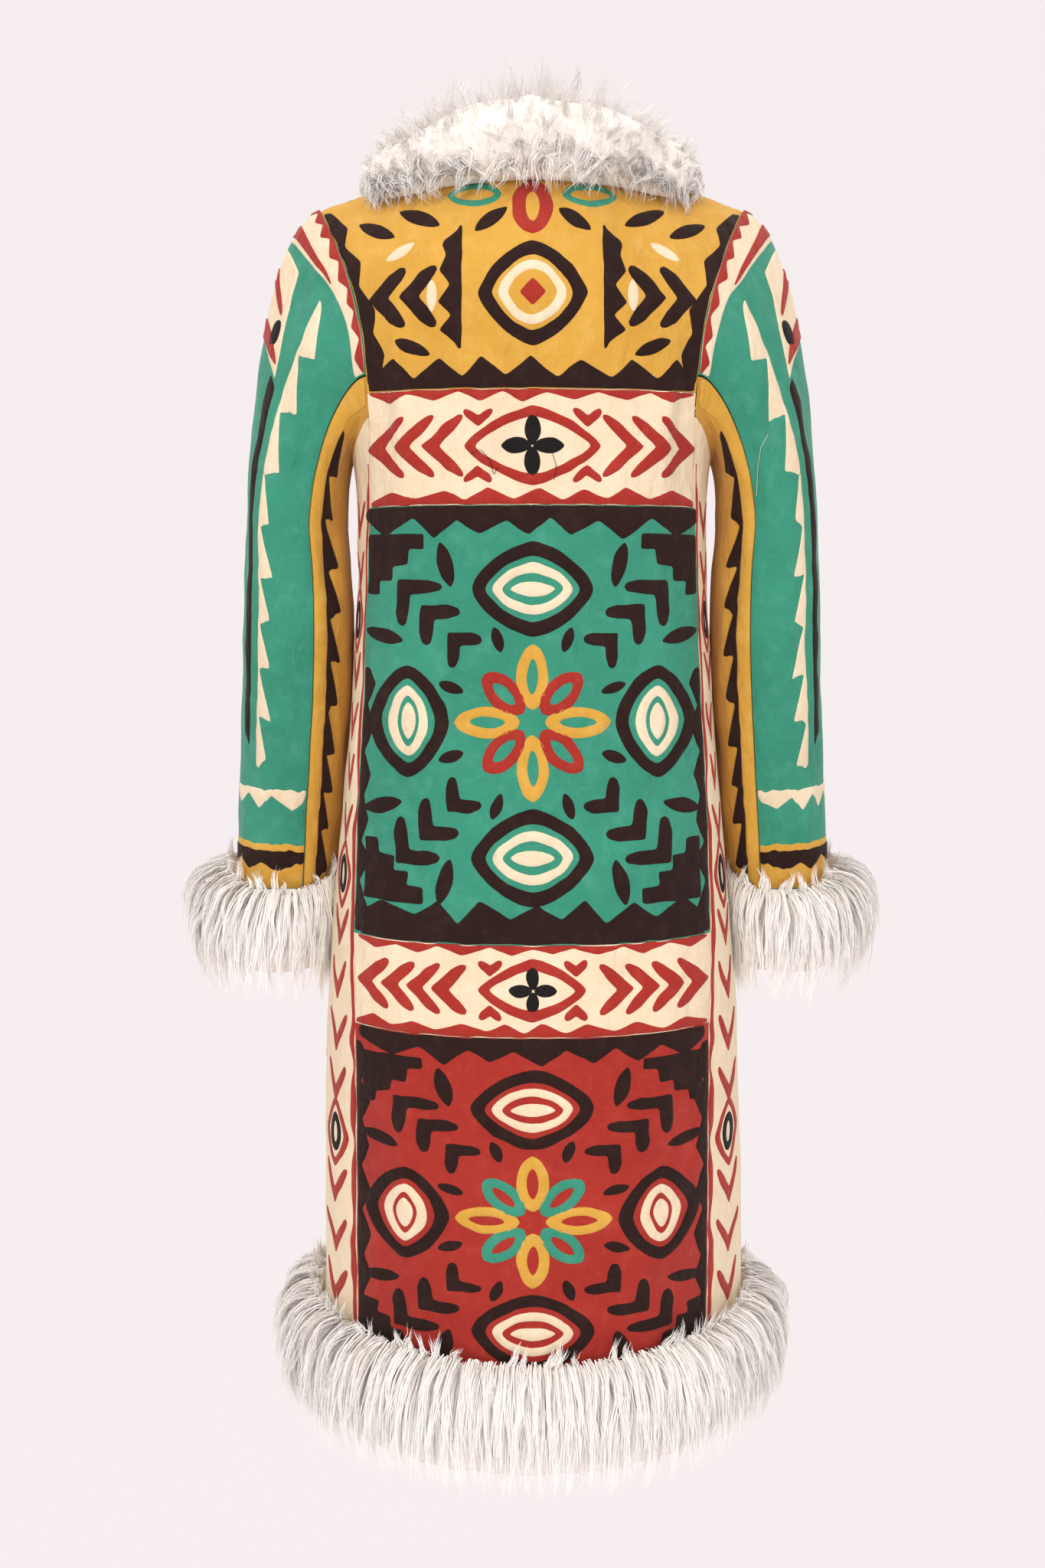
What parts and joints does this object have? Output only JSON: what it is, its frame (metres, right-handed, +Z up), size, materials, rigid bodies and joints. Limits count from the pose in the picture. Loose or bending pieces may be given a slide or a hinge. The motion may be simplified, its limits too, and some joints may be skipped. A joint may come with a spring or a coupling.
{
  "type": "coat",
  "caption": "Long patchwork coat, filled out as worn with no wearer: hollow cotton body and sleeves with a fur collar, cuffs and hem.",
  "frame": {"origin": "midway between the two points where the shoulder seams meet the neckline", "axes": "+Z up, +Y out of the coat's back, +X towards the wearer's left"},
  "size_m": [0.6438, 0.3799, 1.1727],
  "materials": {
    "cotton_yellow": "matte woven cotton",
    "cotton_green": "matte woven cotton",
    "cotton_red": "matte woven cotton",
    "cotton_cream": "matte woven cotton",
    "cotton_ochre": "matte woven cotton",
    "fur_white": "long soft lamb fur"
  },
  "bodies": {
    "root": {"back_yoke": "cotton_yellow", "back_band_upper": "cotton_cream", "back_block_middle": "cotton_green", "back_band_lower": "cotton_cream", "back_block_lower": "cotton_red", "side_panel_left": "cotton_cream", "side_panel_right": "cotton_cream", "front_left": "cotton_green", "front_right": "cotton_green", "sleeve_top_left": "cotton_green", "sleeve_top_right": "cotton_green", "sleeve_under_left": "cotton_ochre", "sleeve_under_right": "cotton_ochre", "collar_fur": "fur_white", "cuff_fur_left": "fur_white", "cuff_fur_right": "fur_white", "hem_fur": "fur_white"}
  },
  "joints": []
}
